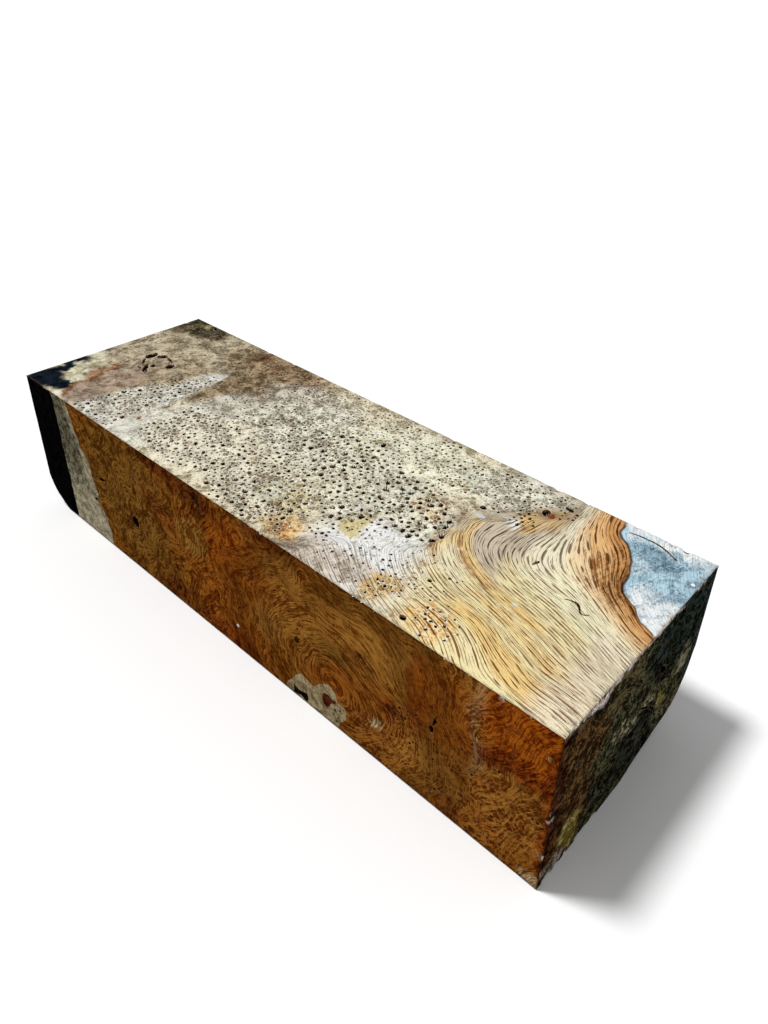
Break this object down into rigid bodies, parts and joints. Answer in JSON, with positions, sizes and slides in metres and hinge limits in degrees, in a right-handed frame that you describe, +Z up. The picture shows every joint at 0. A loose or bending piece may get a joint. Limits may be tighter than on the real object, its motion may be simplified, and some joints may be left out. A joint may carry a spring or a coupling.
{
  "type": "amboyna burl block",
  "caption": "Sawn rectangular block of natural burl wood with open eyes, drying cracks and a natural edge under its back.",
  "frame": {"origin": "on the resting face, under the middle of the block's bounding box", "axes": "+X along the block from the dark bark end to the end grain, +Y from the front face to the back, +Z up"},
  "size_m": [0.13, 0.0424, 0.0308],
  "materials": {
    "burl_wood": "sawn, satin, with open eyes"
  },
  "bodies": {
    "root": {"burl_block": "burl_wood"}
  },
  "joints": []
}
